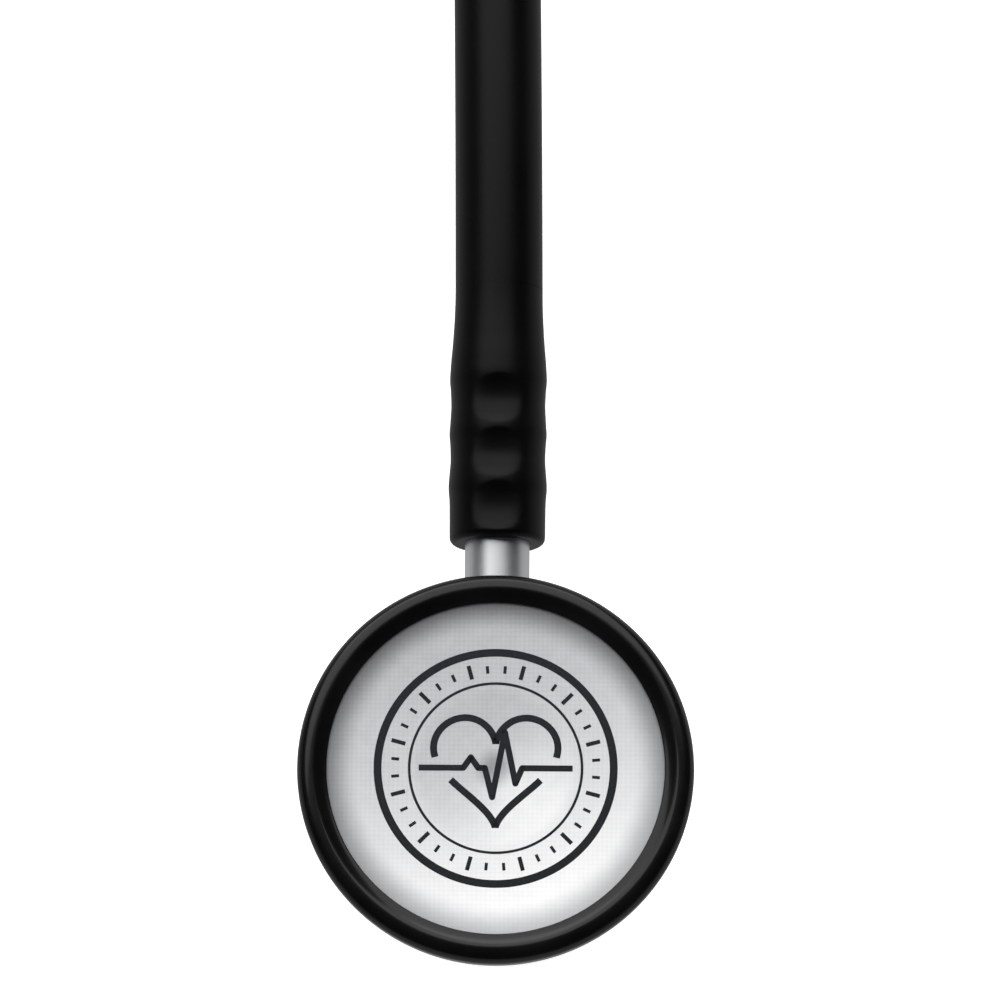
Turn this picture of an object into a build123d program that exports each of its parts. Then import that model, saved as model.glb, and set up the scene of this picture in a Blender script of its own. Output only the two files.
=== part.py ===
from build123d import *
import math
import os

# Dual-head stethoscope, lying on a table: bell down, diaphragm up, hose in one easy U-turn and the
# headset beside the chestpiece. Millimetres, Z up from the table. The chestpiece's axis is the Z
# axis, its bell rests on Z = 0 and its stem points to +Y.

os.makedirs("parts", exist_ok=True)

# ---- Fits
turn_gap = 0.05  # radial, between a shaft and the bore it turns in
seat_gap = 0.05  # between two pieces of one body that seat on each other
face_gap = 0.2  # between end faces that turn past each other
float_gap = 0.15  # over the diaphragm, below its rim's lip
press_travel = 0.4  # how far the diaphragm gives under a firm press
soft_gap = 0.3  # between the soft arm's round root and the yoke's socket

# ---- Diaphragm, dish and rim
diaphragm_r = 21.8
diaphragm_thickness = 0.4
surround_width = 1.3
surround_thickness = 0.55
dish_beyond = 0.4  # the dish's edge beyond the diaphragm's
dish_depth = 3.4
rim_wall = 1.8  # the rim's widest beyond the dish
rim_lip = 1.35  # the lip over the diaphragm's edge
rim_lip_thickness = 0.25
rim_hollow = 0.06  # how far the rim's inner slope dips below a straight one
rim_crest_inset = 1.8  # the crest's middle inside the rim's widest
rim_crest_flat = 0.4
rim_crest_height = 1.05  # above the diaphragm
dish_r = diaphragm_r + dish_beyond
rim_r = dish_r + rim_wall
rim_opening_r = diaphragm_r - rim_lip
rim_crest_r = rim_r - rim_crest_inset

# ---- Chestpiece
neck_r = 9.4
stem_r = 3.95
boss_wall = 0.95  # the boss's edge beyond the stem
boss_length = 11.6  # from the chestpiece's axis to the boss's end face
sound_r = 1.4  # sound passages in the head and the stem
snap_depth = 0.5  # groove round the dish and round the bell for their rims
bell_mouth_r = 14.9
bell_mouth_depth = 1.2
bell_depth = 5.4
bell_lip_wall = 1.7
bell_rim_wall = 1.0
bell_rim_lip = 0.55  # how far the soft rim reaches into the mouth
bell_rim_height = 4.4
boss_r = stem_r + boss_wall
bell_lip_r = bell_mouth_r + bell_lip_wall
bell_rim_r = bell_lip_r + bell_rim_wall
bell_rim_opening_r = bell_mouth_r - bell_rim_lip

# ---- Chestpiece, heights above the table
bell_edge_z = 1.2
stem_axis_z = 11.8
dish_over_stem = 1.25  # clear height between the stem and the dish
dish_floor_web = 0.3
rim_skirt_gap = 0.4  # the rim's lower edge above the dish's underside
dish_under_z = stem_axis_z + stem_r + dish_over_stem
dish_seat_z = dish_under_z + dish_depth
dish_floor_z = dish_under_z + dish_floor_web
rim_under_z = dish_under_z + rim_skirt_gap

# ---- Stem, places measured along +Y from the chestpiece's axis
spigot_r = 2.75
stem_port_end = 1.4  # how far the sound bore runs past the side port
spigot_end = 4.0
detent_y = 5.2
detent_groove_depth = 0.45
detent_groove_half = 0.85
o_ring_y = 8.8
o_ring_section = 0.6
barb_core_r = 3.0
barb_r = 3.45
barb_length = 15.0
barb_count = 3

# ---- Detent
ball_r = 0.9
ball_hole_r = 1.0
detent_screw_r = 1.2
detent_screw_length = 2.0
detent_spring_wire_r = 0.12
detent_spring_r = 0.65
detent_spring_turns = 5

# ---- Hose
hose_r = 5.25
lumen_r = 2.3

# ---- Grip, the flared end of the tubing; ridges and pads are placed from its start
stem_bare = 6.1  # bare stem between the rim and the grip
grip_length = 31.9
grip_flare = 0.65  # the grip's wall beyond the hose
grip_ridge = 0.1  # how far each ridge stands above the flare
grip_ridge_places = (7.0, 13.6, 20.6)
grip_pad_places = (3.6, 10.3, 17.1)
grip_pad_depth = 0.42
grip_pad_curve_r = 9.0
grip_socket_depth = 2.1  # how far the stem's full diameter goes in
grip_r = hose_r + grip_flare
grip_start = rim_r + stem_bare

# ---- Headset: its middle line runs parallel to -Y
headset_x = -120.0
yoke_y = 135.0
yoke_fork_y = 127.0
yoke_wall = 0.95  # the fork's wall beyond the hose
yoke_collar = 0.15  # how far the yoke's mouth stands proud of the hose
yoke_socket_wall = 0.8
yoke_bead = 0.05  # how far the rounded fork and sockets stand proud of the branches
pivot_y = 104.0
pivot_spacing = 20.0
arm_r = 4.8
arm_socket_depth = 22.0
ear_tube_r = 3.2
ear_tube_wall = 0.8
ear_tube_end_gap = 0.2  # between the ear tube and the end of its socket
ear_bend_r = 40.0
lift = 0.05  # of the arms and the ear tubes over the table
yoke_r = hose_r + yoke_wall
yoke_branch_r = arm_r + soft_gap + yoke_socket_wall
yoke_axis_z = max(yoke_r, yoke_branch_r)

# ---- Headset spring
spring_thickness = 0.7
spring_height = 4.0
spring_cover = 0.75  # of the soft arm outside the spring's leg
spring_offset = arm_r - spring_cover - seat_gap - spring_thickness / 2
spring_leg = 14.0
spring_apex_y = 119.0
spring_bend_r = 3.0

# ---- Ear tips
stud_insert = 6.0
stud_wall = 1.05
stud_flange = 0.8
stud_barrel_r = 2.4
stud_barrel = 5.5
stud_ridge = 0.4
ear_tip_r = 5.9
ear_tip_length = 13.5
ear_tip_hole_r = 1.5


def turned(points, plane=Plane.XY):
    """A solid turned about the plane's normal, from (radius, height) points."""
    outline = Polyline([(r, 0, z) for r, z in points], close=True)
    return plane * revolve(make_face(outline), Axis.Z)


def turned_edges(edges, plane=Plane.XY):
    """The same from edges drawn in the XZ plane."""
    return plane * revolve(make_face(edges), Axis.Z)


def line_rz(a, b):
    return Line((a[0], 0, a[1]), (b[0], 0, b[1]))


def arc_rz(a, b, c):
    return ThreePointArc((a[0], 0, a[1]), (b[0], 0, b[1]), (c[0], 0, c[1]))


def swell_rz(widest, end):
    """An arc that leaves the widest point upright and ends at the other point."""
    upright = 1 if end[1] > widest[1] else -1
    return TangentArc((widest[0], 0, widest[1]), (end[0], 0, end[1]), tangent=(0, 0, upright))


def rod(radius, start, end):
    """A plain round rod between two points."""
    axis = Vector(end) - Vector(start)
    base = Plane(origin=start, z_dir=axis)
    return base * extrude(Circle(radius), axis.length)


def cone(radius, end_radius, start, end):
    """A straight taper between two points."""
    axis = Vector(end) - Vector(start)
    base = Plane(origin=start, z_dir=axis)
    return base * Cone(radius, end_radius, axis.length, align=(Align.CENTER, Align.CENTER, Align.MIN))


def write(name, shape):
    export_step(shape, f"parts/{name}.step")


# Local Z of this plane runs along the stem.
stem_plane = Plane(origin=(0, 0, stem_axis_z), x_dir=(1, 0, 0), z_dir=(0, 1, 0))
spigot_bore_r = spigot_r + turn_gap


# ---------------------------------------------------------------- chestpiece
def chestpiece_body():
    lip_top = bell_edge_z + 2.2
    groove_r = bell_lip_r - snap_depth
    cone_start = (groove_r, bell_rim_height + seat_gap)
    neck_low = (neck_r, stem_axis_z - 2.6)
    neck_high = (neck_r, stem_axis_z + 2.4)
    flare = (neck_r + 4.6, dish_under_z - 0.5)
    edges = [
        line_rz((0, bell_edge_z), (bell_lip_r, bell_edge_z)),
        line_rz((bell_lip_r, bell_edge_z), (bell_lip_r, lip_top)),
        line_rz((bell_lip_r, lip_top), (groove_r, lip_top)),
        line_rz((groove_r, lip_top), cone_start),
        arc_rz(cone_start, (neck_r + 2.6, cone_start[1] + 1.6), neck_low),
        line_rz(neck_low, neck_high),
        arc_rz(neck_high, (neck_r + 1.6, dish_under_z - 1.1), flare),
    ]
    edges += Polyline([(r, 0, z) for r, z in [flare] + dish_edge() + [(0, dish_seat_z)]]).edges()
    edges.append(line_rz((0, dish_seat_z), (0, bell_edge_z)))
    body = turned_edges(edges)
    boss = stem_plane * extrude(Circle(boss_r), boss_length)
    boss = chamfer(boss.edges().sort_by(Axis.Y)[-1], 0.4)
    body += boss
    body -= bell_cavity()
    body -= dish_recess()
    body -= rod(sound_r, (0, 0, bell_edge_z + 2), (0, 0, dish_seat_z))
    body -= rod(spigot_bore_r, (0, -spigot_end - face_gap, stem_axis_z), (0, boss_length + 1, stem_axis_z))
    body -= rod(ball_hole_r, (0, detent_y, stem_axis_z), (-neck_r, detent_y, stem_axis_z))
    screw_hole_start = spigot_bore_r + 2.3
    body -= rod(
        detent_screw_r + seat_gap,
        (-screw_hole_start, detent_y, stem_axis_z),
        (-neck_r - 1, detent_y, stem_axis_z),
    )
    return body


def dish_edge():
    """The dish's outer wall with its snap groove, from below."""
    middle = (dish_under_z + dish_seat_z) / 2 - 0.2
    return [
        (dish_r, dish_under_z),
        (dish_r, middle - 0.65),
        (dish_r - snap_depth, middle - 0.2),
        (dish_r - snap_depth, middle + 0.2),
        (dish_r, middle + 0.65),
        (dish_r, dish_seat_z),
    ]


def bell_cavity():
    """A short straight mouth under a shallow ball-shaped hollow."""
    mouth_top = bell_edge_z + bell_mouth_depth
    apex_z = mouth_top + bell_depth
    ball = (bell_mouth_r**2 + bell_depth**2) / (2 * bell_depth)
    half_r = bell_mouth_r / 2
    halfway = (half_r, apex_z - ball + math.sqrt(ball**2 - half_r**2))
    edges = [
        line_rz((0, bell_edge_z - 1), (bell_mouth_r, bell_edge_z - 1)),
        line_rz((bell_mouth_r, bell_edge_z - 1), (bell_mouth_r, mouth_top)),
        arc_rz((bell_mouth_r, mouth_top), halfway, (0, apex_z)),
        line_rz((0, apex_z), (0, bell_edge_z - 1)),
    ]
    return turned_edges(edges)


def dish_recess():
    """The shallow cone under the diaphragm, inside the seat."""
    seat_r = dish_r - 1.5
    return turned(
        [
            (0, dish_seat_z + 1),
            (seat_r, dish_seat_z + 1),
            (seat_r, dish_seat_z),
            (seat_r - 0.4, dish_seat_z - 0.8),
            (sound_r + 0.8, dish_floor_z),
            (0, dish_floor_z),
        ]
    )


# The surround hangs under the diaphragm's edge and keeps clear of its seat at full travel.
surround_z = dish_seat_z + press_travel + 0.15
diaphragm_z = surround_z + surround_thickness
diaphragm_top = diaphragm_z + diaphragm_thickness
lip_z = diaphragm_top + float_gap
crest_z = diaphragm_top + rim_crest_height


def diaphragm():
    disc = rod(diaphragm_r, (0, 0, diaphragm_z), (0, 0, diaphragm_top))
    return chamfer(disc.edges().filter_by(GeomType.CIRCLE), 0.1)


def diaphragm_surround():
    outer = diaphragm_r
    inner = outer - surround_width
    return turned(
        [
            (inner, surround_z + 0.2),
            (inner + 0.2, surround_z),
            (outer - 0.2, surround_z),
            (outer, surround_z + 0.2),
            (outer, diaphragm_z),
            (inner, diaphragm_z),
        ]
    )


def diaphragm_rim():
    bore_r = dish_r + seat_gap
    bead_r = bore_r - snap_depth
    middle = (dish_under_z + dish_seat_z) / 2 - 0.2
    widest_z = diaphragm_top - 0.4
    crest_out = (rim_crest_r + rim_crest_flat / 2, crest_z)
    crest_in = (rim_crest_r - rim_crest_flat / 2, crest_z)
    lip_edge = (rim_opening_r, lip_z + rim_lip_thickness)
    hollow = ((lip_edge[0] + crest_in[0]) / 2, (lip_edge[1] + crest_in[1]) / 2 - rim_hollow)
    under = (rim_r - 0.9, rim_under_z)
    edges = [
        line_rz((bore_r, rim_under_z), under),
        swell_rz((rim_r, widest_z), under),
        swell_rz((rim_r, widest_z), crest_out),
        line_rz(crest_out, crest_in),
        arc_rz(crest_in, hollow, lip_edge),
        line_rz(lip_edge, (rim_opening_r, lip_z)),
    ]
    inside = [
        (rim_opening_r, lip_z),
        (bore_r, lip_z),
        (bore_r, middle + 0.55),
        (bead_r, middle + 0.15),
        (bead_r, middle - 0.15),
        (bore_r, middle - 0.55),
        (bore_r, rim_under_z),
    ]
    edges += Polyline([(r, 0, z) for r, z in inside]).edges()
    return turned_edges(edges)


def bell_rim():
    """A soft channel ring that snaps over the bell's lip, flat where it meets the table or skin."""
    lip_in = bell_mouth_r - seat_gap
    lip_out = bell_lip_r + seat_gap
    lip_under = bell_edge_z - seat_gap
    lip_top = bell_edge_z + 2.2 + seat_gap
    round_r = 0.8
    return turned(
        [
            (bell_rim_opening_r, round_r),
            (bell_rim_opening_r, lip_under + 1.1),
            (lip_in, lip_under + 1.1),
            (lip_in, lip_under),
            (lip_out, lip_under),
            (lip_out, lip_top),
            (lip_out - snap_depth, lip_top),
            (lip_out - snap_depth, bell_rim_height),
            (bell_rim_r - 0.7, bell_rim_height),
            (bell_rim_r, bell_rim_height - 0.9),
            (bell_rim_r, round_r),
            (bell_rim_r - 0.25, 0.25),
            (bell_rim_r - round_r, 0),
            (bell_rim_opening_r + round_r, 0),
            (bell_rim_opening_r + 0.25, 0.25),
        ]
    )


# ---------------------------------------------------------------- stem and detent
stem_shoulder = boss_length + face_gap
barb_start = grip_start + grip_socket_depth - 0.2
barb_end = barb_start + barb_length
o_ring_groove_r = spigot_r - o_ring_section - seat_gap


def stem():
    low = detent_y - detent_groove_half
    high = detent_y + detent_groove_half
    ring_low = o_ring_y - o_ring_section / 2 - seat_gap
    ring_high = o_ring_y + o_ring_section / 2 + seat_gap
    points = [(0, -spigot_end), (spigot_r - 0.4, -spigot_end), (spigot_r, -spigot_end + 0.4)]
    edges = [line_rz(a, b) for a, b in zip(points, points[1:])]
    edges.append(line_rz((spigot_r, -spigot_end + 0.4), (spigot_r, low)))
    edges.append(arc_rz((spigot_r, low), (spigot_r - detent_groove_depth, detent_y), (spigot_r, high)))
    rest = [
        (spigot_r, high),
        (spigot_r, ring_low),
        (o_ring_groove_r, ring_low),
        (o_ring_groove_r, ring_high),
        (spigot_r, ring_high),
        (spigot_r, stem_shoulder),
        (stem_r - 0.3, stem_shoulder),
        (stem_r, stem_shoulder + 0.3),
        (stem_r, barb_start),
        (barb_core_r, barb_start),
    ]
    pitch = barb_length / barb_count
    for i in range(barb_count):
        base = barb_start + i * pitch
        rest += [(barb_core_r, base + 0.3 * pitch), (barb_r, base + 0.4 * pitch)]
        rest += [(barb_r, base + 0.5 * pitch), (barb_core_r, base + pitch)]
    rest.append((0, barb_end))
    edges += Polyline([(r, 0, z) for r, z in rest]).edges()
    edges.append(line_rz((0, barb_end), (0, -spigot_end)))
    shaft = turned_edges(edges, stem_plane)
    shaft -= rod(sound_r, (0, -stem_port_end, stem_axis_z), (0, barb_end + 1, stem_axis_z))
    shaft -= rod(sound_r, (0, 0, stem_axis_z), (0, 0, stem_axis_z + spigot_r + 1))
    return shaft


def stem_o_ring():
    middle_r = spigot_r - o_ring_section / 2
    ring = Torus(middle_r, o_ring_section / 2)
    return stem_plane * (Pos(0, 0, o_ring_y) * ring)


# The ball rides in the stem's groove, pushed in by a spring that a grub screw holds.
ball_x = -(spigot_r - detent_groove_depth + 0.1 + ball_r)
detent_screw_x = -(spigot_bore_r + 2.3 + 0.9)
detent_hex_af = 1.3


def detent_ball():
    return Pos(ball_x, detent_y, stem_axis_z) * Sphere(ball_r)


def detent_screw():
    end = detent_screw_x - detent_screw_length
    screw = rod(detent_screw_r, (detent_screw_x, detent_y, stem_axis_z), (end, detent_y, stem_axis_z))
    screw = chamfer(screw.edges().filter_by(GeomType.CIRCLE), 0.2)
    socket = Plane(origin=(end, detent_y, stem_axis_z), z_dir=(1, 0, 0))
    return screw - socket * extrude(RegularPolygon(detent_hex_af / 2, 6, major_radius=False), 1.1)


def detent_spring():
    start = ball_x - math.sqrt((ball_r + detent_spring_wire_r + 0.02) ** 2 - detent_spring_r**2)
    end = detent_screw_x + detent_spring_wire_r + 0.02
    length = start - end
    coil = Helix(length / detent_spring_turns, length, detent_spring_r)
    wire = sweep(Plane(origin=coil @ 0, z_dir=coil % 0) * Circle(detent_spring_wire_r), coil)
    return Plane(origin=(end, detent_y, stem_axis_z), z_dir=(1, 0, 0)) * wire


# ---------------------------------------------------------------- grip and hose
grip_end = grip_start + grip_length


def tube_grip():
    """The flared end of the tubing: three low ridges with a finger pad before each, top and bottom."""
    profile = [(grip_r - 0.4, grip_start + 0.7), (grip_r - 0.08, grip_start + 3.4)]
    for place in grip_ridge_places:
        profile.append((grip_r + grip_ridge, grip_start + place))
        profile.append((grip_r - 0.08, grip_start + place + 3.3))
    profile[-1] = (grip_r - 0.2, grip_start + grip_ridge_places[-1] + 3.4)
    profile.append((hose_r + 0.12, grip_end - 3.5))
    skin = Spline(
        [(r, 0, z) for r, z in profile] + [(hose_r, 0, grip_end)],
        tangents=[(1, 0, 2), (0, 0, 1)],
    )
    mouth = (grip_r - 1.0, grip_start)
    edges = [
        line_rz((0, grip_start), mouth),
        line_rz(mouth, profile[0]),
        skin,
        line_rz((hose_r, grip_end), (0, grip_end)),
        line_rz((0, grip_end), (0, grip_start)),
    ]
    grip = turned_edges(edges, stem_plane)
    for place in grip_pad_places:
        y = grip_start + place
        for side in (1, -1):
            height = stem_axis_z + side * (grip_r - grip_pad_depth + grip_pad_curve_r)
            grip -= rod(grip_pad_curve_r, (-2 * grip_r, y, height), (2 * grip_r, y, height))
    socket_end = grip_start + grip_socket_depth
    grip -= rod(stem_r + seat_gap, (0, grip_start - 1, stem_axis_z), (0, socket_end, stem_axis_z))
    grip -= rod(barb_r + seat_gap, (0, socket_end - 0.1, stem_axis_z), (0, barb_end + 0.3, stem_axis_z))
    grip -= rod(lumen_r, (0, barb_end, stem_axis_z), (0, grip_end + 1, stem_axis_z))
    return grip


# The hose leaves the grip level, comes down to the table and turns back in one loose U.
hose_route = [
    (0, grip_end, stem_axis_z),
    (-0.2, 86, stem_axis_z),
    (-1.5, 128, 6.6),
    (-0.8, 194, hose_r),
    (-23.5, 227, hose_r),
    (-60.5, 239.5, hose_r),
    (-98, 227.5, hose_r),
    (-120.6, 195.5, hose_r),
    (headset_x, 158, yoke_axis_z),
    (headset_x, yoke_y, yoke_axis_z),
]


def hose():
    points = [Vector(p) for p in hose_route]
    runs = [(b - a) for a, b in zip(points, points[1:])]
    radii = []
    for before, after in zip(runs, runs[1:]):
        turn = math.radians(before.get_angle(after))
        radii.append(0.45 * min(before.length, after.length) / math.tan(turn / 2))
    print("hose radii", [round(r, 1) for r in radii])
    path = FilletPolyline(*points, radius=radii)
    start = Plane(origin=path @ 0, z_dir=path % 0)
    tube = sweep(start * Circle(hose_r), path) - sweep(start * Circle(lumen_r), path)
    section = math.pi * (hose_r**2 - lumen_r**2)
    print("hose length", round(path.length, 1), "volume ratio", round(tube.volume / (section * path.length), 4))
    return tube


# ---------------------------------------------------------------- headset
def headset_point(side, across, y, z):
    """A point of the headset, its distance across counted outwards from the middle line."""
    return Vector(headset_x + side * across, y, z)


pivot_across = pivot_spacing / 2
# The arm's last run and the ear tube's first lie on one line, which comes down to the ear tube's elbow.
arm_bend_across, arm_bend_y = 17.0, 76.0
arm_end_across, arm_end_y = 30.5, 16.0
elbow_y = -62.0
arm_end_z = arm_r + lift
fall = (arm_end_z - ear_tube_r - lift) / (arm_end_y - elbow_y)
arm_bend = (arm_bend_across, arm_bend_y, arm_end_z + fall * (arm_bend_y - arm_end_y))
arm_end = (arm_end_across, arm_end_y, arm_end_z)
ear_end = (26.0, -121.0, 21.0)


def yoke():
    centre = (headset_x, yoke_y, yoke_axis_z)
    middle = (headset_x, yoke_fork_y, yoke_axis_z)
    body = cone(hose_r + yoke_collar, yoke_r - yoke_bead, centre, middle)
    body += Pos(*middle) * Sphere(yoke_r)
    for side in (-1, 1):
        pivot = headset_point(side, pivot_across, pivot_y, yoke_axis_z)
        along = headset_point(side, arm_bend_across, arm_bend_y, yoke_axis_z) - pivot
        branch = cone(yoke_r - yoke_bead, yoke_branch_r - yoke_bead, middle, pivot)
        branch += Pos(*pivot) * Sphere(yoke_branch_r)
        beyond = Plane(origin=pivot, z_dir=along) * Box(
            30, 30, 30, align=(Align.CENTER, Align.CENTER, Align.MIN)
        )
        body += branch - beyond
    for side in (-1, 1):
        pivot = headset_point(side, pivot_across, pivot_y, yoke_axis_z)
        body -= Pos(*pivot) * Sphere(arm_r + soft_gap)
        body -= rod(lumen_r, middle, pivot)
    body -= rod(lumen_r, (headset_x, yoke_y + 1, yoke_axis_z), middle)
    body -= Pos(*middle) * Sphere(lumen_r)
    return body - spring_blank(seat_gap)


def spring_blank(gap=0.0):
    """The headset spring's strip, or with a gap the pocket that it lies in."""
    corners = {}
    for side in (-1, 1):
        pivot = headset_point(side, pivot_across, pivot_y, yoke_axis_z)
        bend = headset_point(side, arm_bend_across, arm_bend_y, yoke_axis_z)
        along = (bend - pivot).normalized()
        inward = Vector(side * along.Y, -side * along.X, 0)
        hip = pivot + inward * spring_offset
        corners[side] = (hip, hip + along * (spring_leg + gap))
    apex = Vector(headset_x, spring_apex_y, yoke_axis_z)
    route = [corners[-1][1], corners[-1][0], apex, corners[1][0], corners[1][1]]
    path = FilletPolyline(*route, radius=[12.0, spring_bend_r, 12.0])
    strip = trace(path, spring_thickness + 2 * gap)
    height = spring_height + 2 * gap
    return Pos(0, 0, -height / 2) * extrude(strip, height)


def arm(side):
    """One soft arm of the headset, round-ended where it turns in the yoke, with the ear tube's socket."""
    pivot = headset_point(side, pivot_across, pivot_y, yoke_axis_z)
    bend = headset_point(side, *arm_bend)
    end = headset_point(side, *arm_end)
    path = FilletPolyline(pivot, bend, end, radius=150)
    start = Plane(origin=path @ 0, z_dir=path % 0)
    body = sweep(start * Circle(arm_r), path)
    body = chamfer(body.faces().sort_by(Axis.Y)[0].edges(), 0.6)
    body += Pos(*pivot) * Sphere(arm_r)
    body -= sweep(start * Circle(lumen_r), path)
    outward = (end - bend).normalized()
    body -= rod(lumen_r, pivot, pivot - (path % 0) * (arm_r + 1))
    body -= rod(ear_tube_r + turn_gap, end - outward * arm_socket_depth, end + outward)
    return body - spring_blank(seat_gap)


def ear_tube(side):
    """A bent metal tube: straight where it turns in the arm, then in and up to the ear."""
    end = headset_point(side, *arm_end)
    bend = headset_point(side, *arm_bend)
    elbow = ear_elbow(side)
    start_point = end - (end - bend).normalized() * (arm_socket_depth - ear_tube_end_gap)
    path = FilletPolyline(start_point, elbow, headset_point(side, *ear_end), radius=ear_bend_r)
    start = Plane(origin=path @ 0, z_dir=path % 0)
    return sweep(start * Circle(ear_tube_r), path) - sweep(start * Circle(ear_tube_r - ear_tube_wall), path)


def ear_elbow(side):
    """The ear tube's corner, exactly in line with the arm's last run."""
    end = headset_point(side, *arm_end)
    bend = headset_point(side, *arm_bend)
    outward = (end - bend).normalized()
    return end + outward * ((arm_end_y - elbow_y) / -outward.Y)


def tip_plane(side):
    """Origin at the ear tube's end, local Z out of it."""
    end = headset_point(side, *ear_end)
    return Plane(origin=end, z_dir=end - ear_elbow(side))


stud_bore_r = stud_barrel_r - stud_wall


def tip_stud(side):
    """The small fitting pressed in the ear tube's end, with a ridge that the ear tip snaps over."""
    insert_r = ear_tube_r - ear_tube_wall - seat_gap
    flange_r = ear_tube_r - 0.1
    top = stud_flange + stud_barrel
    ridge_z = stud_flange + 0.6 * stud_barrel
    return turned(
        [
            (stud_bore_r, -stud_insert),
            (insert_r - 0.2, -stud_insert),
            (insert_r, 0.2 - stud_insert),
            (insert_r, 0),
            (flange_r, 0),
            (flange_r, stud_flange),
            (stud_barrel_r, stud_flange),
            (stud_barrel_r, ridge_z - stud_ridge),
            (stud_barrel_r + stud_ridge, ridge_z),
            (stud_barrel_r + stud_ridge, ridge_z + 0.3),
            (stud_barrel_r, ridge_z + 0.3 + stud_ridge),
            (stud_barrel_r, top - 0.3),
            (stud_barrel_r - 0.3, top),
            (stud_bore_r, top),
        ],
        tip_plane(side),
    )


def ear_tip(side):
    """A soft mushroom tip over the stud."""
    base = stud_flange + seat_gap
    inner_r = stud_barrel_r + seat_gap
    top = stud_flange + stud_barrel + seat_gap
    ridge_z = stud_flange + 0.6 * stud_barrel
    tip_end = stud_flange + ear_tip_length
    foot = (ear_tube_r + 0.3, base)
    skin = Spline(
        (foot[0], 0, foot[1] + 0.5),
        (ear_tip_r - 1.6, 0, base + 2.6),
        (ear_tip_r, 0, base + 0.42 * ear_tip_length),
        (ear_tip_r - 1.5, 0, base + 0.78 * ear_tip_length),
        (ear_tip_hole_r + 0.7, 0, tip_end),
        tangents=[(0, 0, 1), (-1, 0, 0.15)],
    )
    inside = [
        (ear_tip_hole_r + 0.7, tip_end),
        (ear_tip_hole_r + 0.3, tip_end),
        (ear_tip_hole_r, tip_end - 0.6),
        (ear_tip_hole_r, top),
        (inner_r, top),
        (inner_r, ridge_z + 0.3 + stud_ridge),
        (inner_r + stud_ridge, ridge_z + 0.3),
        (inner_r + stud_ridge, ridge_z),
        (inner_r, ridge_z - stud_ridge),
        (inner_r, base),
        foot,
        (foot[0], foot[1] + 0.5),
    ]
    edges = [skin] + list(Polyline([(r, 0, z) for r, z in inside]).edges())
    return turned_edges(edges, tip_plane(side))


write("chestpiece_body", chestpiece_body())
write("bell_rim", bell_rim())
write("diaphragm_rim", diaphragm_rim())
write("diaphragm", diaphragm())
write("diaphragm_surround", diaphragm_surround())
write("stem", stem())
write("stem_o_ring", stem_o_ring())
write("detent_ball", detent_ball())
write("detent_spring", detent_spring())
write("detent_screw", detent_screw())
write("tube_grip", tube_grip())
write("hose", hose())
write("yoke", yoke())
write("headset_spring", spring_blank())
for name, side in (("left", -1), ("right", 1)):
    write(f"{name}_arm", arm(side))
    write(f"{name}_ear_tube", ear_tube(side))
    write(f"{name}_tip_stud", tip_stud(side))
    write(f"{name}_ear_tip", ear_tip(side))
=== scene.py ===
"""The stethoscope's looks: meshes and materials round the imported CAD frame."""

import math

import bmesh
import bpy
from mathutils import Matrix, Vector


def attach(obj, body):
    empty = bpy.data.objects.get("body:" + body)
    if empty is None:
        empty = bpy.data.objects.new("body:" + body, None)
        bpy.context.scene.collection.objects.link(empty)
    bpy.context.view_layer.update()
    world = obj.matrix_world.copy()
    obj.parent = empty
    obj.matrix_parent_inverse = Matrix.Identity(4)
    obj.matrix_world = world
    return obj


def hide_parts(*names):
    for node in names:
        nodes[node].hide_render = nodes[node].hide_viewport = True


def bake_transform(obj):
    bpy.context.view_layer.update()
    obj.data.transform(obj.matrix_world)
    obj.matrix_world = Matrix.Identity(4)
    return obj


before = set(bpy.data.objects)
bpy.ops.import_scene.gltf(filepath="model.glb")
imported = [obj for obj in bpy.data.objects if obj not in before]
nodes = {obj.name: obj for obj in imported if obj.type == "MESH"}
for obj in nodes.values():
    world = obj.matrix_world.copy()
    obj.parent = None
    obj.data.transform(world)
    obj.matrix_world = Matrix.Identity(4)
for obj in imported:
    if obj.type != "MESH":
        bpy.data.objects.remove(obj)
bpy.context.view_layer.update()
MM = 0.001

# Places from the CAD model, in millimetres.
STEM_Z = 11.8
GRIP_START, GRIP_END = 30.1, 62.0
HOSE_FULL_R = 5.36
HOSE_ROUTE = [
    (0, 62, 11.8),
    (-0.2, 86, 11.8),
    (-0.9, 128, 6.6),
    (-0.8, 194, 5.25),
    (-23.5, 227, 5.25),
    (-60.5, 239.5, 5.25),
    (-98, 227.5, 5.25),
    (-120.6, 195.5, 5.25),
    (-120, 158, 6.2),
    (-120, 135, 6.2),
]
HEADSET_X = -120.0
YOKE_Z = 6.2
YOKE_MOUTH_Y, FORK_Y, PIVOT_Y, PIVOT_ACROSS = 136.6, 127.0, 104.0, 10.0
ARM_BEND = (17.0, 76.0, 6.081)
ARM_END = (30.5, 16.0, 4.85)
ARM_R, ARM_LIP = 4.8, 0.7
ELBOW = (48.05, -62.0, 3.25)
EAR_END = (26.0, -121.0, 21.0)
DIAPHRAGM_R, DIAPHRAGM_LOW, DIAPHRAGM_TOP = 21.8, 21.5, 21.9
DOME = 0.12


# ---------------------------------------------------------------- camera and light
# Degrees off straight down, degrees of roll, and millimetres.
CAMERA_TILT, CAMERA_ROLL = 13.3, 0.42
CAMERA_LENS = 400
CAMERA_DISTANCE = 1342
CAMERA_AIM = (0.53, 32.48)  # right and up from the chestpiece's middle, in the picture
LIGHT_TARGET = (0, 0, 0.01)


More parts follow.
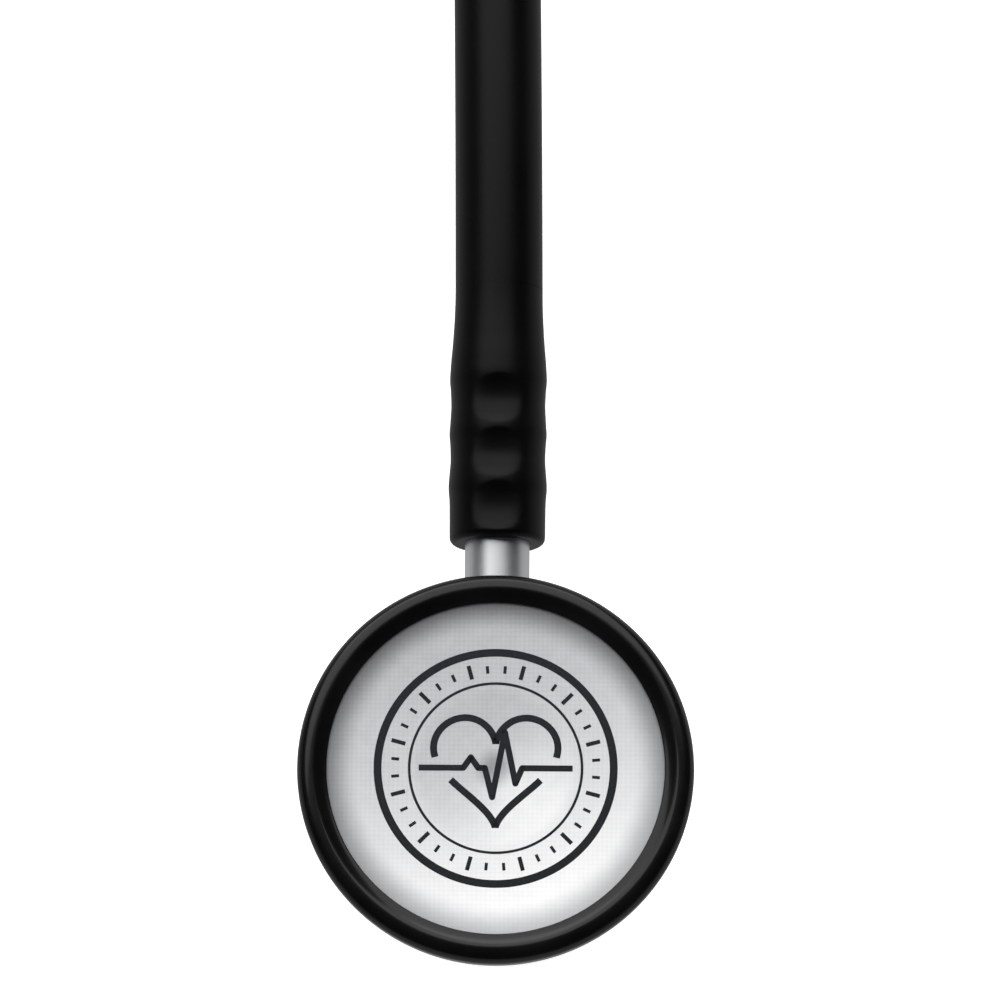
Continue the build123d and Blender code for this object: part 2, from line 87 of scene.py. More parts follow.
def make_camera():
    tilt, roll = math.radians(CAMERA_TILT), math.radians(CAMERA_ROLL)
    right = Vector((1, 0, 0))
    up = Vector((0, math.cos(tilt), math.sin(tilt)))
    back = Vector((0, -math.sin(tilt), math.cos(tilt)))
    side = right * math.cos(roll) + up * math.sin(roll)
    top = up * math.cos(roll) - right * math.sin(roll)
    aim = Vector((0, 0, DIAPHRAGM_LOW)) + side * CAMERA_AIM[0] + top * CAMERA_AIM[1]
    data = bpy.data.cameras.new("camera")
    data.lens = CAMERA_LENS
    data.sensor_width = 36
    data.clip_start, data.clip_end = 0.05, 50
    camera = bpy.data.objects.new("camera", data)
    bpy.context.scene.collection.objects.link(camera)
    turn = Matrix((side, top, back)).transposed().to_4x4()
    camera.matrix_world = Matrix.Translation((aim + back * CAMERA_DISTANCE) * MM) @ turn
    bpy.context.scene.camera = camera


def area_light(name, place, size, power, mirrored=True):
    """A soft rectangle that faces the object; unless mirrored, it shows in no reflection."""
    data = bpy.data.lights.new(name, "AREA")
    data.shape = "RECTANGLE"
    data.size, data.size_y = size
    data.energy = power
    light = bpy.data.objects.new(name, data)
    light.location = place
    facing = Vector(LIGHT_TARGET) - Vector(place)
    light.rotation_euler = facing.to_track_quat("-Z", "Y").to_euler()
    light.visible_camera = False
    light.visible_glossy = mirrored
    bpy.context.scene.collection.objects.link(light)


make_camera()
area_light("softbox", (-0.3, 1.4, 1.66), (3.3, 2.1), 35)
area_light("scrim", (-0.1, 0.5, 2.3), (4.6, 3.6), 72, mirrored=False)
area_light("back_strip", (-0.35, 1.9, 0.75), (2.6, 0.7), 9)

bpy.context.scene.view_settings.view_transform = "Standard"


# ---------------------------------------------------------------- mesh helpers
def new_mesh(name, vertices, faces, sharp=40):
    """A smooth mesh from points in millimetres, with edges over `sharp` degrees kept crisp."""
    mesh = bpy.data.meshes.new(name)
    mesh.from_pydata([Vector(v) * MM for v in vertices], [], faces)
    mesh.validate()
    mesh.shade_smooth()
    mesh.set_sharp_from_angle(angle=math.radians(sharp))
    obj = bpy.data.objects.new(name, mesh)
    bpy.context.scene.collection.objects.link(obj)
    return obj


def catmull(points, steps):
    """Points on a smooth line through the given ones."""
    ends = [points[0]] + list(points) + [points[-1]]
    out = []
    for a, b, c, d in zip(ends, ends[1:], ends[2:], ends[3:]):
        for i in range(steps):
            t = i / steps
            out.append(
                tuple(
                    0.5
                    * (
                        2 * q
                        + (r - p) * t
                        + (2 * p - 5 * q + 4 * r - s) * t * t
                        + (3 * q - p - 3 * r + s) * t**3
                    )
                    for p, q, r, s in zip(a, b, c, d)
                )
            )
    out.append(tuple(points[-1]))
    return out


def lathe(name, outline, place=None, segments=128, sharp=40):
    """A closed (radius, height) outline turned about local Z."""
    place = place or Matrix.Identity(4)
    verts, rings = [], []
    for r, z in outline:
        if r < 1e-6:
            rings.append([len(verts)])
            verts.append(place @ Vector((0, 0, z)))
            continue
        rings.append(list(range(len(verts), len(verts) + segments)))
        for k in range(segments):
            a = 2 * math.pi * k / segments
            verts.append(place @ Vector((r * math.cos(a), r * math.sin(a), z)))
    faces = []
    for low, high in zip(rings, rings[1:] + rings[:1]):
        if len(low) == 1 and len(high) == 1:
            continue
        for k in range(segments):
            n = (k + 1) % segments
            if len(low) == 1:
                faces.append((low[0], high[n], high[k]))
            elif len(high) == 1:
                faces.append((low[k], low[n], high[0]))
            else:
                faces.append((low[k], low[n], high[n], high[k]))
    return new_mesh(name, verts, faces, sharp)


def spline_line(points, resolution):
    """Points down the middle of a smooth NURBS line, in millimetres."""
    curve = bpy.data.curves.new("route", "CURVE")
    curve.dimensions = "3D"
    curve.resolution_u = resolution
    spline = curve.splines.new("NURBS")
    spline.points.add(len(points) - 1)
    for control, point in zip(spline.points, points):
        control.co = (*(Vector(point) * MM), 1)
    spline.order_u = 3
    spline.use_endpoint_u = True
    obj = bpy.data.objects.new("route", curve)
    mesh = bpy.data.meshes.new_from_object(obj)
    line = [v.co / MM for v in mesh.vertices]
    bpy.data.meshes.remove(mesh)
    bpy.data.objects.remove(obj)
    bpy.data.curves.remove(curve)
    return line


def tube(name, line, radii, segments=72, shape=None, sharp=40):
    """A closed tube of rings along a line; shape(i, angle, radius) may move a ring's points in or out."""
    tangents = [(b - a).normalized() for a, b in zip(line, line[1:])]
    tangents = (
        [tangents[0]]
        + [(a + b).normalized() for a, b in zip(tangents, tangents[1:])]
        + [tangents[-1]]
    )
    up = Vector((0, 0, 1))
    verts = []
    for i, (centre, along) in enumerate(zip(line, tangents)):
        up = (up - along * up.dot(along)).normalized()
        side = along.cross(up)
        for k in range(segments):
            a = 2 * math.pi * k / segments
            x, z = math.sin(a) * radii[i], math.cos(a) * radii[i]
            if shape:
                x, z = shape(i, x, z)
            verts.append(centre + side * x + up * z)
    faces = []
    for i in range(len(line) - 1):
        for k in range(segments):
            n = (k + 1) % segments
            low, high = i * segments, (i + 1) * segments
            faces.append((low + k, high + k, high + n, low + n))
    faces.append(tuple(range(segments)))
    faces.append(tuple(range(len(verts) - 1, len(verts) - segments - 1, -1)))
    return new_mesh(name, verts, faces, sharp)


# ---------------------------------------------------------------- materials
class Look:
    """A node material: one Principled shader with helpers for what drives it."""

    def __init__(self, name, **sockets):
        self.material = bpy.data.materials.new(name)
        self.material.use_nodes = True
        self.tree = self.material.node_tree
        self.shader = self.tree.nodes["Principled BSDF"]
        for key, value in sockets.items():
            self.shader.inputs[key.replace("_", " ")].default_value = value
        self.coords = self.tree.nodes.new("ShaderNodeTexCoord").outputs["Object"]
        self.height = None

    def node(self, kind, inputs=None, **settings):
        made = self.tree.nodes.new(kind)
        for key, value in settings.items():
            setattr(made, key, value)
        for key, value in (inputs or {}).items():
            if isinstance(value, bpy.types.NodeSocket):
                self.tree.links.new(value, made.inputs[key])
            else:
                made.inputs[key].default_value = value
        return made

    def vector(self, operation, a, b=(0, 0, 0)):
        return self.node("ShaderNodeVectorMath", {0: a, 1: b}, operation=operation)

    def stretched(self, scale):
        return self.node("ShaderNodeMapping", {"Vector": self.coords, "Scale": scale}).outputs[0]

    def noise(self, size_mm, detail=3, vector=None, roughness=0.5):
        made = self.node(
            "ShaderNodeTexNoise",
            {
                "Vector": vector or self.coords,
                "Scale": 1 / (size_mm * MM),
                "Detail": detail,
                "Roughness": roughness,
            },
        )
        return made.outputs[0]

    def math(self, operation, a, b=0.5):
        return self.node("ShaderNodeMath", {0: a, 1: b}, operation=operation).outputs[0]

    def blend(self, a, b, share):
        """The given share of a and the rest of b."""
        return self.math("ADD", self.math("MULTIPLY", a, share), self.math("MULTIPLY", b, 1 - share))

    def dimmed(self, value, amount, depth):
        """The value taken down by depth where the amount is 1."""
        return self.math(
            "MULTIPLY", value, self.math("SUBTRACT", 1.0, self.math("MULTIPLY", amount, depth))
        )

    def ramp(self, value, *stops):
        made = self.node("ShaderNodeValToRGB", {"Fac": value})
        steps = made.color_ramp.elements
        while len(steps) < len(stops):
            steps.new(0.5)
        for step, (place, colour) in zip(steps, stops):
            step.position = place
            step.color = (*colour, 1) if isinstance(colour, tuple) else (colour,) * 3 + (1,)
        return made.outputs[0]

    def colour(self, output):
        self.tree.links.new(output, self.shader.inputs["Base Color"])

    def fade(self, value, start, end):
        """0 at start, 1 at end, smooth between."""
        low, high = min(start, end), max(start, end)
        to = (0.0, 1.0) if start < end else (1.0, 0.0)
        made = self.node(
            "ShaderNodeMapRange",
            {"Value": value, "From Min": low, "From Max": high, "To Min": to[0], "To Max": to[1]},
            interpolation_type="SMOOTHSTEP",
        )
        return made.outputs[0]

    def rough(self, value, low, high):
        made = self.node("ShaderNodeMapRange", {"Value": value, "To Min": low, "To Max": high})
        self.tree.links.new(made.outputs[0], self.shader.inputs["Roughness"])

    def bump(self, value, depth_mm, strength=1.0):
        made = self.node(
            "ShaderNodeBump", {"Height": value, "Distance": depth_mm * MM, "Strength": strength}
        )
        if self.height:
            self.tree.links.new(self.height, made.inputs["Normal"])
        self.height = made.outputs[0]
        self.tree.links.new(self.height, self.shader.inputs["Normal"])


def soft_black(name, base, roughness, grain_mm=0.35, depth=0.006, **sockets):
    """Moulded soft PVC or rubber: a fine matt grain and slow changes in tone and shine."""
    look = Look(name, **sockets)
    broad = look.noise(9, 4)
    fine = look.noise(grain_mm, 2)
    low = tuple(c * 0.72 for c in base)
    high = tuple(c * 1.35 for c in base)
    look.colour(look.ramp(broad, (0.3, low), (0.7, high)))
    look.rough(look.blend(broad, fine, 0.6), *roughness)
    look.bump(fine, depth)
    return look.material


def worked_metal(name, base, roughness, mark_scale, mark_depth=0.003):
    """Machined metal: fine tool marks from a noise stretched along them, brighter worn edges."""
    look = Look(name, Metallic=1.0)
    marks = look.noise(1, 3, look.stretched(mark_scale), 0.6)
    broad = look.noise(6, 3)
    pointed = look.node("ShaderNodeNewGeometry").outputs["Pointiness"]
    worn = look.ramp(pointed, (0.49, 0.0), (0.56, 1.0))
    tone = look.blend(marks, broad, 0.5)
    dark = tuple(c * 0.86 for c in base)
    light = tuple(min(1, c * 1.1) for c in base)
    shade = look.ramp(tone, (0.3, dark), (0.7, light))
    mixed = look.node("ShaderNodeMix", {"Factor": worn}, data_type="RGBA")
    look.tree.links.new(shade, mixed.inputs[6])
    mixed.inputs[7].default_value = (*(min(1, c * 1.2) for c in base), 1)
    look.colour(mixed.outputs[2])
    look.rough(tone, *roughness)
    look.bump(marks, mark_depth)
    return look.material


PVC = soft_black("tubing_pvc", (0.0008, 0.0008, 0.0008), (0.34, 0.45), Specular_IOR_Level=0.18)
RUBBER = soft_black(
    "bell_rubber", (0.01, 0.01, 0.0105), (0.5, 0.66), 0.25, 0.008, Specular_IOR_Level=0.35
)
TIP_RUBBER = soft_black(
    "tip_rubber", (0.012, 0.012, 0.013), (0.42, 0.58), 0.3, 0.006, Specular_IOR_Level=0.35
)
SEAL = soft_black("seal_rubber", (0.01, 0.01, 0.01), (0.45, 0.6))
SURROUND = soft_black("surround_plastic", (0.02, 0.02, 0.02), (0.4, 0.55))
HEAD_METAL = worked_metal("head_metal", (0.68, 0.675, 0.665), (0.2, 0.32), (0.35, 0.35, 14), 0.002)
STEM_METAL = worked_metal("stem_metal", (0.73, 0.748, 0.75), (0.36, 0.48), (0.3, 9, 0.3))
EAR_METAL = worked_metal("ear_tube_metal", (0.76, 0.76, 0.755), (0.2, 0.3), (3, 0.25, 3), 0.0012)
STEEL = worked_metal("detent_steel", (0.5, 0.5, 0.5), (0.2, 0.3), (3, 3, 3))
SPRING = worked_metal("spring_steel", (0.42, 0.41, 0.4), (0.25, 0.36), (3, 0.5, 3))


def rim_plastic():
    """Hard glossy moulded plastic with faint swirls and dust-fine pits."""
    look = Look("rim_plastic", Coat_Weight=0.2, Coat_Roughness=0.08, Specular_IOR_Level=0.28)
    broad = look.noise(7, 4)
    fine = look.noise(0.6, 3)
    look.colour(look.ramp(broad, (0.3, (0.0015, 0.0015, 0.0017)), (0.7, (0.0035, 0.0035, 0.0038))))
    look.rough(look.blend(broad, fine, 0.5), 0.17, 0.3)
    look.bump(look.noise(2.5, 2), 0.004)
    return look.material


def laminate():
    """Resin-bonded glass cloth: a fine uneven weave under a clear skin, with painted shade over the sound
    hole and near the rim, painted light falling off from side to side, and painted highlights of the
    turned dish below.
    """
    look = Look("diaphragm_laminate", Coat_Weight=0.25, Coat_Roughness=0.18)
    wobble = look.noise(1.6, 2)
    weave = {
        "Vector": look.coords,
        "Scale": 560,
        "Distortion": 1.6,
        "Detail": 2,
        "Detail Scale": 3.0,
    }
    warp = look.node("ShaderNodeTexWave", weave, bands_direction="X")
    weft = look.node("ShaderNodeTexWave", weave, bands_direction="Y")
    cloth = look.math("MULTIPLY", look.math("ADD", warp.outputs["Fac"], weft.outputs["Fac"]), 0.5)
    flat = look.vector("MULTIPLY", look.coords, (1, 1, 0)).outputs[0]
    radius = look.vector("LENGTH", flat).outputs["Value"]
    radius_mm = look.math("MULTIPLY", radius, 1000.0)
    split = look.node("ShaderNodeSeparateXYZ", {"Vector": look.coords})
    # Painted light and shade: the colour falls off over the disc from one side to the other, darker on
    # the +Y side.
    across = look.vector("DOT_PRODUCT", look.coords, (0.26, -0.966, 0)).outputs["Value"]
    bowed = look.math("MULTIPLY", look.math("MULTIPLY", across, across), 283.0)
    tone = look.math("ADD", look.math("ADD", look.math("MULTIPLY", across, 14.8), 0.60), bowed)
    # Mask for painted shade near the rim.
    edge = look.fade(radius_mm, 16.6, 20.6)
    # Mask for painted shade over the sound hole.
    hole = look.fade(radius_mm, 3.1, 0.5)
    # Painted highlight and shade: the bright and dark wedges of the turned dish below, within the thin
    # ring.
    inner = look.fade(radius_mm, 10.6, 8.6)
    angle = look.math("ARCTAN2", split.outputs["Y"], split.outputs["X"])
    highlight_sweep = look.math("COSINE", look.math("ADD", angle, 0.7), 0)
    highlight_rays = look.math("SINE", look.math("MULTIPLY", angle, 2.0), 0)
    # Painted highlight and shade of the dish, added to the tone.
    turned = look.math("ADD", look.math("MULTIPLY", highlight_sweep, 0.09), look.math("MULTIPLY", highlight_rays, -0.035))
    tone = look.math("ADD", tone, look.math("MULTIPLY", turned, inner))
    for grain, strength in ((cloth, 0.06), (wobble, 0.08)):
        swing = look.math("MULTIPLY", look.math("SUBTRACT", grain, 0.5), strength)
        tone = look.math("ADD", tone, swing)
    # Painted shade near the rim, deeper on the +Y side.
    shaded = look.math("SUBTRACT", 0.66, look.math("MULTIPLY", across, 7.0))
    tone = look.dimmed(tone, edge, shaded)
    # Painted shade over the sound hole.
    tone = look.dimmed(tone, hole, 0.5)
    dark, middle, pale = (0.0, 0.0, 0.0), (0.485, 0.495, 0.51), (0.985, 0.985, 0.98)
    look.colour(look.ramp(tone, (0.0, dark), (0.5, middle), (1.0, pale)))
    look.rough(cloth, 0.34, 0.46)
    look.bump(cloth, 0.012, 0.6)
    return look.material


def ink():
    look = Look("print_ink", Specular_IOR_Level=0.2)
    fine = look.noise(0.3, 3)
    look.colour(look.ramp(fine, (0.3, (0.007, 0.0085, 0.0105)), (0.7, (0.013, 0.0155, 0.0185))))
    look.rough(fine, 0.35, 0.5)
    return look.material


RIM = rim_plastic()
LAMINATE = laminate()
INK = ink()


def finish_piece(obj, material, body=None, replaced=()):
    obj.data.materials.clear()
    obj.data.materials.append(material)
    if body:
        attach(obj, body)
    if replaced:
        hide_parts(*replaced)
    return obj


# ---------------------------------------------------------------- hose and grip
hose_line = spline_line(HOSE_ROUTE, 48)
# Nearly parallel, and round where it lies on the table.
hose_radii = [min(HOSE_FULL_R, p.z) for p in hose_line]
hose = tube("hose_tube", hose_line, hose_radii)
finish_piece(hose, PVC, "tubing", ["hose"])

# Distance from the chestpiece's axis and radius, along the grip.
GRIP_PROFILE = [
    (30.1, 5.8), (31.2, 5.85), (33.2, 5.86), (35.4, 5.9), (37.1, 6.02), (38.8, 5.92), (40.5, 5.8),
    (42.4, 5.85), (43.8, 5.96), (45.4, 5.87), (47.4, 5.77), (49.2, 5.84), (50.7, 5.95), (52.2, 5.88),
    (53.4, 5.8), (55.5, 5.62), (58.0, 5.47), (60.2, 5.385), (62.0, 5.36),
]
# The flat pressed pads on its top and underside.
PADS = (33.7, 40.4, 47.2)
PAD_HALF, PAD_DEPTH = 3.1, 0.62
LIP_ROUND = 0.7


def soft_min(a, b, k):
    """The smaller of a and b, rounded over where they are within k."""
    h = max(k - abs(a - b), 0) / k
    return min(a, b) - h * h * k / 4


def make_grip():
    # Rings close together round the lip, then evenly spaced.
    ys = [GRIP_START + 0.02 * i * i for i in range(6)]
    steps = 190
    first = ys[-1]
    ys += [first + (GRIP_END - first) * (i + 1) / steps for i in range(steps)]
    smooth = catmull(GRIP_PROFILE, 12)

    def radius(y):
        for (a, ra), (b, rb) in zip(smooth, smooth[1:]):
            if a <= y <= b:
                return ra + (rb - ra) * (y - a) / max(b - a, 1e-9)
        return smooth[-1][1]

    line, radii = [], []
    for y in ys:
        r = radius(y)
        edge = y - GRIP_START
        if edge < LIP_ROUND:
            r -= LIP_ROUND - math.sqrt(max(0.0, LIP_ROUND**2 - (LIP_ROUND - edge) ** 2))
        line.append(Vector((0, y, STEM_Z)))
        radii.append(r)
    line[-1] = Vector((0, GRIP_END, STEM_Z))
    radii[-1] = HOSE_FULL_R

    def shape(i, x, z):
        y = line[i].y
        deep = 0
        for pad in PADS:
            t = abs(y - pad) / PAD_HALF
            if t < 1:
                deep = max(deep, (1 - t * t) * PAD_DEPTH)
        if deep > 0:
            r = radii[i]
            limit = r - deep
            sign = 1 if z > 0 else -1
            z = sign * soft_min(abs(z), limit, min(0.5, deep * 1.2))
        return x, z

    return tube("grip_skin", line, radii, shape=shape, sharp=50)


finish_piece(make_grip(), PVC, "tubing", ["tube_grip"])


# ---------------------------------------------------------------- yoke
def make_yoke():
    """A smooth moulded Y: tapered lengths joined, then rounded into each other."""
    fork = Vector((HEADSET_X, FORK_Y, YOKE_Z))
    mouth = Vector((HEADSET_X, YOKE_MOUTH_Y, YOKE_Z))
    count = 12
    line = [mouth + (fork - mouth) * (i / count) for i in range(count + 1)]
    pieces = [tube("yoke_neck", line, [5.75] + [5.9 + 0.025 * i for i in range(count)])]
    for side in (-1, 1):
        pivot = Vector((HEADSET_X + side * PIVOT_ACROSS, PIVOT_Y, YOKE_Z))
        along = (pivot - fork).normalized()
        start = fork - along * 3
        end = pivot + along * 1.2
        count = 20
        line = [start + (end - start) * (i / count) for i in range(count + 1)]
        radii = [6.15 - 0.55 * (i / count) ** 1.5 for i in range(count + 1)]
        radii[0] = 5.2
        pieces.append(tube("yoke_leg", line, radii))
    verts, faces = [], []
    for piece in pieces:
        base = len(verts)
        verts += [v.co / MM for v in piece.data.vertices]
        faces += [tuple(base + v for v in p.vertices) for p in piece.data.polygons]
        bpy.data.objects.remove(piece)
    rough = new_mesh("yoke_rough", verts, faces)
    remesh = rough.modifiers.new("remesh", "REMESH")
    remesh.mode = "VOXEL"
    remesh.voxel_size = 0.4 * MM
    smooth = rough.modifiers.new("smooth", "SMOOTH")
    smooth.factor = 0.5
    smooth.iterations = 22
    evaluated = rough.evaluated_get(bpy.context.evaluated_depsgraph_get())
    mesh = bpy.data.meshes.new_from_object(evaluated)
    mesh.name = "yoke_skin"
    mesh.shade_smooth()
    obj = bpy.data.objects.new("yoke_skin", mesh)
    bpy.context.scene.collection.objects.link(obj)
    bpy.data.objects.remove(rough)
    return obj


finish_piece(make_yoke(), PVC, "tubing", ["yoke"])


# ---------------------------------------------------------------- arms and ear pieces
def headset(side, point):
    """A point given off the headset's middle line, on the side asked for."""
    return Vector((HEADSET_X + side * point[0], point[1], point[2]))


def make_arm(name, side):
    pivot = headset(side, (PIVOT_ACROSS, PIVOT_Y, YOKE_Z))
    bend, end = headset(side, ARM_BEND), headset(side, ARM_END)
    into = (pivot - bend).normalized()
    # It starts far enough inside the yoke to stay hidden as it bends.
    line = spline_line([pivot + into * 2.6, pivot, bend, end], 60)
    total = sum((b - a).length for a, b in zip(line, line[1:]))
    radii, gone = [], 0
    for i, p in enumerate(line):
        if i:
            gone += (p - line[i - 1]).length
        left = total - gone
        # A slight taper from the yoke, and a bead just before the end.
        r = ARM_R + 0.25 * max(0.0, 1 - gone / 35)
        r += 0.16 * math.exp(-(((left - 1.7) / 1.1) ** 2))
        radii.append(r)
    # A rounded lip where the ear tube goes in.
    out = (line[-1] - line[-2]).normalized()
    tip, last = line[-1], radii[-1]
    line, radii = line[:-1], radii[:-1]
    while (line[-1] - tip).length < ARM_LIP + 0.1:
        line, radii = line[:-1], radii[:-1]
    for k in range(9):
        a = math.pi / 2 * k / 8
        line.append(tip - out * ARM_LIP * (1 - math.sin(a)))
        radii.append(last - ARM_LIP * (1 - math.cos(a)))
    line.append(tip - out * 0.05)
    radii.append(3.45)
    line.append(tip - out * 0.5)
    radii.append(3.3)
    return tube(name, line, radii, sharp=60)


def end_place(side):
    """Local Z out of the ear tube's end."""
    out = (headset(side, EAR_END) - headset(side, ELBOW)).normalized()
    turn = out.to_track_quat("Z", "Y").to_matrix().to_4x4()
    return Matrix.Translation(headset(side, EAR_END)) @ turn


def make_ear_tip(name, side):
    outer = catmull(
        [
            (3.5, 0.85), (3.62, 1.5), (4.3, 3.4), (5.35, 5.0), (5.9, 6.9),
            (5.55, 9.2), (4.4, 11.6), (3.2, 13.4), (2.5, 14.15), (2.2, 14.3),
        ],
        6,
    )
    hole = [(1.8, 14.25), (1.55, 13.8), (1.5, 13.0), (1.5, 6.4), (2.5, 6.35), (2.5, 0.85)]
    return lathe(name, outer + hole, end_place(side), 96, 35)


def make_spring_leg(name, side, pivot, down):
    """One half of the flat spring, cut across into many thin slices."""
    made = bmesh.new()
    made.from_mesh(nodes["headset_spring"].data)
    made.transform(nodes["headset_spring"].matrix_world)

    def cut(place, along, drop=False):
        parts = made.verts[:] + made.edges[:] + made.faces[:]
        found = bmesh.ops.bisect_plane(
            made, geom=parts, dist=1e-6, plane_co=place * MM, plane_no=along, clear_inner=drop
        )
        return [item for item in found["geom_cut"] if isinstance(item, bmesh.types.BMEdge)]

    middle = cut(headset(side, (0, 0, 0)), Vector((side, 0, 0)), drop=True)
    bmesh.ops.edgeloop_fill(made, edges=middle)
    for k in range(14):
        cut(pivot + down * (1.2 * k - 2), down)
    bmesh.ops.recalc_face_normals(made, faces=made.faces[:])
    mesh = bpy.data.meshes.new(name)
    made.to_mesh(mesh)
    made.free()
    leg = bpy.data.objects.new(name, mesh)
    bpy.context.scene.collection.objects.link(leg)
    return leg


for name, side in (("left", -1), ("right", 1)):
    pivot = headset(side, (PIVOT_ACROSS, PIVOT_Y, YOKE_Z))
    down = (headset(side, ARM_BEND) - pivot).normalized()
    arm = make_arm(f"{name}_arm_skin", side)
    finish_piece(arm, PVC, None, [f"{name}_arm"])
    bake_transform(arm)
    leg = make_spring_leg(f"{name}_spring_leg", side, pivot, down)
    finish_piece(leg, SPRING, None, ["headset_spring"])
    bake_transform(leg)
    tip = make_ear_tip(f"{name}_tip_skin", side)
    finish_piece(tip, TIP_RUBBER, f"{name}_ear", [f"{name}_ear_tip"])


# ---------------------------------------------------------------- chestpiece
def make_rim():
    swell = catmull(
        [
            (23.05, 17.4), (23.62, 18.6), (23.93, 20.2), (24.0, 21.4), (23.92, 21.85),
            (23.66, 22.34), (23.28, 22.69), (22.84, 22.88), (22.46, 22.945),
        ],
        6,
    )
    inner = catmull(
        [(22.2, 22.95), (22.02, 22.93), (21.72, 22.81), (21.3, 22.6), (20.88, 22.42), (20.5, 22.3)],
        6,
    )
    lip = [
        (20.44, 22.24), (20.42, 22.16), (20.45, 22.07), (20.52, 22.05),
        (22.25, 22.05), (22.25, 17.45), (22.3, 17.4),
    ]
    return lathe("rim_skin", swell + inner + lip, segments=256, sharp=50)


def dome(r):
    """Height of the diaphragm's slightly bowed top."""
    return DIAPHRAGM_TOP + DOME * (1 - (r / DIAPHRAGM_R) ** 2)


def make_diaphragm():
    top = [(r, dome(r)) for r in [21.72 * i / 40 for i in range(40, 0, -1)]] + [(0, dome(0))]
    low = [
        (0, DIAPHRAGM_LOW),
        (21.7, DIAPHRAGM_LOW),
        (DIAPHRAGM_R, DIAPHRAGM_LOW + 0.1),
        (DIAPHRAGM_R, DIAPHRAGM_TOP - 0.1),
    ]
    return lathe("diaphragm_sheet", top + low, segments=192, sharp=50)


INK_LIFT, INK_THICK = 0.004, 0.02


class Print:
    """Flat printed marks that follow the diaphragm's top, each a thin closed shape of one mesh."""

    def __init__(self):
        self.verts, self.faces = [], []

    def strip(self, left, right, closed=False):
        """A band between two lines of (x, y) points."""
        count = len(left)
        base = len(self.verts)
        for x, y in list(left) + list(right):
            z = dome(math.hypot(x, y)) - INK_THICK + INK_LIFT
            self.verts.append((x, y, z))
        for x, y in list(left) + list(right):
            z = dome(math.hypot(x, y)) + INK_LIFT
            self.verts.append((x, y, z))
        low, high = base, base + 2 * count
        spans = count if closed else count - 1
        for i in range(spans):
            j = (i + 1) % count
            a, b, c, d = i, j, count + j, count + i
            self.faces.append((high + a, high + b, high + c, high + d))
            self.faces.append((low + d, low + c, low + b, low + a))
            self.faces.append((low + a, low + b, high + b, high + a))
            self.faces.append((low + c, low + d, high + d, high + c))
        if not closed:
            for i in (0, count - 1):
                quad = (low + i, low + count + i, high + count + i, high + i)
                self.faces.append(quad if i else quad[::-1])

    def ring(self, inner, outer, segments=240):
        turn = [2 * math.pi * k / segments for k in range(segments)]
        self.strip(
            [(outer * math.cos(a), outer * math.sin(a)) for a in turn],
            [(inner * math.cos(a), inner * math.sin(a)) for a in turn],
            closed=True,
        )

    def stroke(self, points, width):
        """A line of even width through the points, mitred at its corners."""
        pts = [Vector(p) for p in points]
        left, right = [], []
        for i, p in enumerate(pts):
            before = (p - pts[i - 1]).normalized() if i else (pts[1] - p).normalized()
            after = (pts[i + 1] - p).normalized() if i < len(pts) - 1 else before
            mid = (before + after).normalized()
            normal = Vector((-mid.y, mid.x))
            reach = width / 2 / max(0.35, normal.dot(Vector((-before.y, before.x))))
            left.append(tuple(p + normal * reach))
            right.append(tuple(p - normal * reach))
        self.strip(left, right)

    def trace(self, points, width):
        """Straight strokes from point to point, their joints rounded."""
        pts = [Vector(p) for p in points]
        for a, b in zip(pts, pts[1:]):
            self.stroke([a, a.lerp(b, 0.5), b], width)
        for p in pts[1:-1]:
            self.disc(p, width / 2)

    def disc(self, centre, radius, steps=10):
        """A round dot, as a band between its upper and lower halves."""
        upper = []
        for k in range(steps + 1):
            a = math.pi * k / steps
            upper.append((centre.x + radius * math.cos(a), centre.y + max(1e-3, radius * math.sin(a))))
        lower = [(x, 2 * centre.y - y) for x, y in upper]
        self.strip(upper, lower)

    def object(self, name):
        return new_mesh(name, self.verts, self.faces, 30)


def make_print():
    """A plain double ring, a scale of ticks and a pulse trace in a heart."""
    marks = Print()
    marks.ring(13.78, 14.74)
    marks.ring(10.27, 10.6)
    for k in range(36):
        a = math.radians(10 * k + 5)
        long = k % 3 == 1
        inner, outer = (11.3, 13.05) if long else (11.7, 12.65)
        direction = Vector((math.cos(a), math.sin(a)))
        marks.stroke([direction * inner, direction * outer], 0.5 if long else 0.38)
    half = []
    for k in range(49):
        t = math.pi * k / 48
        x = 16 * math.sin(t) ** 3
        y = 13 * math.cos(t) - 5 * math.cos(2 * t) - 2 * math.cos(3 * t) - math.cos(4 * t)
        half.append((x * 0.47, y * 0.47 + 0.6))
    for side in (-1, 1):
        marks.stroke([(side * x, y) for x, y in half if y > 1.0], 0.85)
        marks.stroke([(side * x, y) for x, y in half if y < -1.0], 0.85)
    pulse = [
        (-9.3, 0), (-3.9, 0), (-3.0, 1.3), (-2.1, 0), (-1.3, 0),
        (-0.4, -3.6), (1.1, 4.4), (2.4, -1.9), (3.2, 0), (9.3, 0),
    ]
    marks.trace(pulse, 0.75)
    return marks.object("diaphragm_print")


finish_piece(make_rim(), RIM, "chestpiece", ["diaphragm_rim"])
finish_piece(make_diaphragm(), LAMINATE, "diaphragm", ["diaphragm"])
finish_piece(make_print(), INK, "diaphragm")

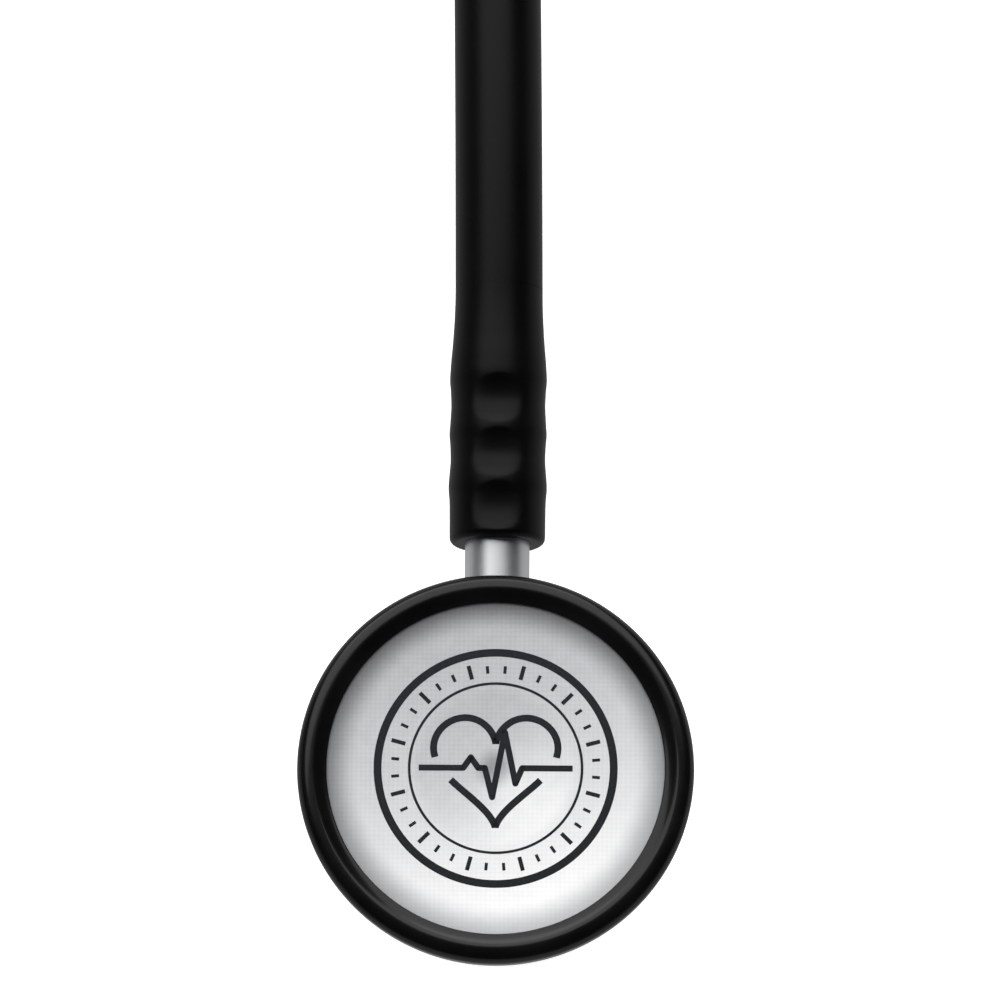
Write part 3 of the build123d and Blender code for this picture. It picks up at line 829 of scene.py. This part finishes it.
CARRIED = {
    "chestpiece_body": HEAD_METAL,
    "bell_rim": RUBBER,
    "diaphragm_surround": SURROUND,
    "stem": STEM_METAL,
    "stem_o_ring": SEAL,
    "detent_ball": STEEL,
    "detent_spring": STEEL,
    "detent_screw": STEEL,
    "left_ear_tube": EAR_METAL,
    "right_ear_tube": EAR_METAL,
    "left_tip_stud": STEEL,
    "right_tip_stud": STEEL,
}
for node, material in CARRIED.items():
    nodes[node].data.materials.clear()
    nodes[node].data.materials.append(material)


# ---------------------------------------------------------------- floor and surroundings
FLOOR_HALF, FLOOR_Z = 15000, -0.05


def make_floor():
    corners = [(x * FLOOR_HALF, y * FLOOR_HALF, FLOOR_Z) for x, y in ((-1, -1), (1, -1), (1, 1), (-1, 1))]
    floor = new_mesh("floor", corners, [(0, 1, 2, 3)])
    look = Look("floor_paper", Roughness=0.8)
    fibre = look.noise(4, 3)
    look.colour(look.ramp(fibre, (0.3, 0.86), (0.7, 0.9)))
    look.shader.inputs["Emission Color"].default_value = (1, 1, 1, 1)
    look.shader.inputs["Emission Strength"].default_value = 0.8
    floor.data.materials.append(look.material)
    floor.visible_glossy = False


def make_world():
    """Pale where the camera sees it; for everything else bright below the horizon and dim above."""
    world = bpy.data.worlds.new("studio")
    bpy.context.scene.world = world
    world.use_nodes = True
    tree = world.node_tree
    background = tree.nodes["Background"]
    coords = tree.nodes.new("ShaderNodeTexCoord")
    split = tree.nodes.new("ShaderNodeSeparateXYZ")
    tree.links.new(coords.outputs["Generated"], split.inputs[0])
    ramp = tree.nodes.new("ShaderNodeValToRGB")
    steps = ramp.color_ramp.elements
    steps[0].position, steps[0].color = 0.0, (0.42, 0.42, 0.424, 1)
    steps[1].position, steps[1].color = 0.12, (0.03, 0.03, 0.031, 1)
    tree.links.new(split.outputs["Z"], ramp.inputs["Fac"])
    seen = tree.nodes.new("ShaderNodeLightPath")
    mix = tree.nodes.new("ShaderNodeMix")
    mix.data_type = "RGBA"
    tree.links.new(seen.outputs["Is Camera Ray"], mix.inputs[0])
    tree.links.new(ramp.outputs["Color"], mix.inputs[6])
    mix.inputs[7].default_value = (0.92, 0.92, 0.92, 1)
    tree.links.new(mix.outputs[2], background.inputs["Color"])


make_floor()
make_world()

bpy.context.view_layer.update()
